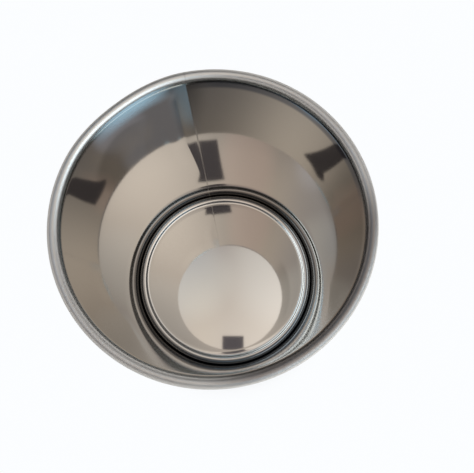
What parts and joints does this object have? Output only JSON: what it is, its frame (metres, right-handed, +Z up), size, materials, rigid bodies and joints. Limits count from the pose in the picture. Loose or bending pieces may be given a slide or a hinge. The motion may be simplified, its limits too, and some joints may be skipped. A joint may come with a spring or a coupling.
{
  "type": "open-top waste bin",
  "caption": "Open-top round bin in polished stainless sheet: straight rolled wall with a butt-welded side seam, wired outward-curled rim and a pressed, double-seamed base.",
  "frame": {"origin": "on the floor at the centre of the base", "axes": "+Z up along the bin's axis; +Y towards the side seam's half of the wall, the side farthest from the viewer; +X to the viewer's right"},
  "size_m": [0.2592, 0.2592, 0.312],
  "materials": {
    "polished_sheet": "mirror-polished stainless sheet with fine buffing marks",
    "weld": "planished and buffed butt weld",
    "wire": "drawn steel wire",
    "polished_base": "mirror-polished pressed stainless sheet",
    "compound": "cured lining compound"
  },
  "bodies": {
    "root": {"body_shell": "polished_sheet", "side_weld": "weld", "rim_wire": "wire", "base_pan": "polished_base", "seam_seal": "compound"}
  },
  "joints": []
}
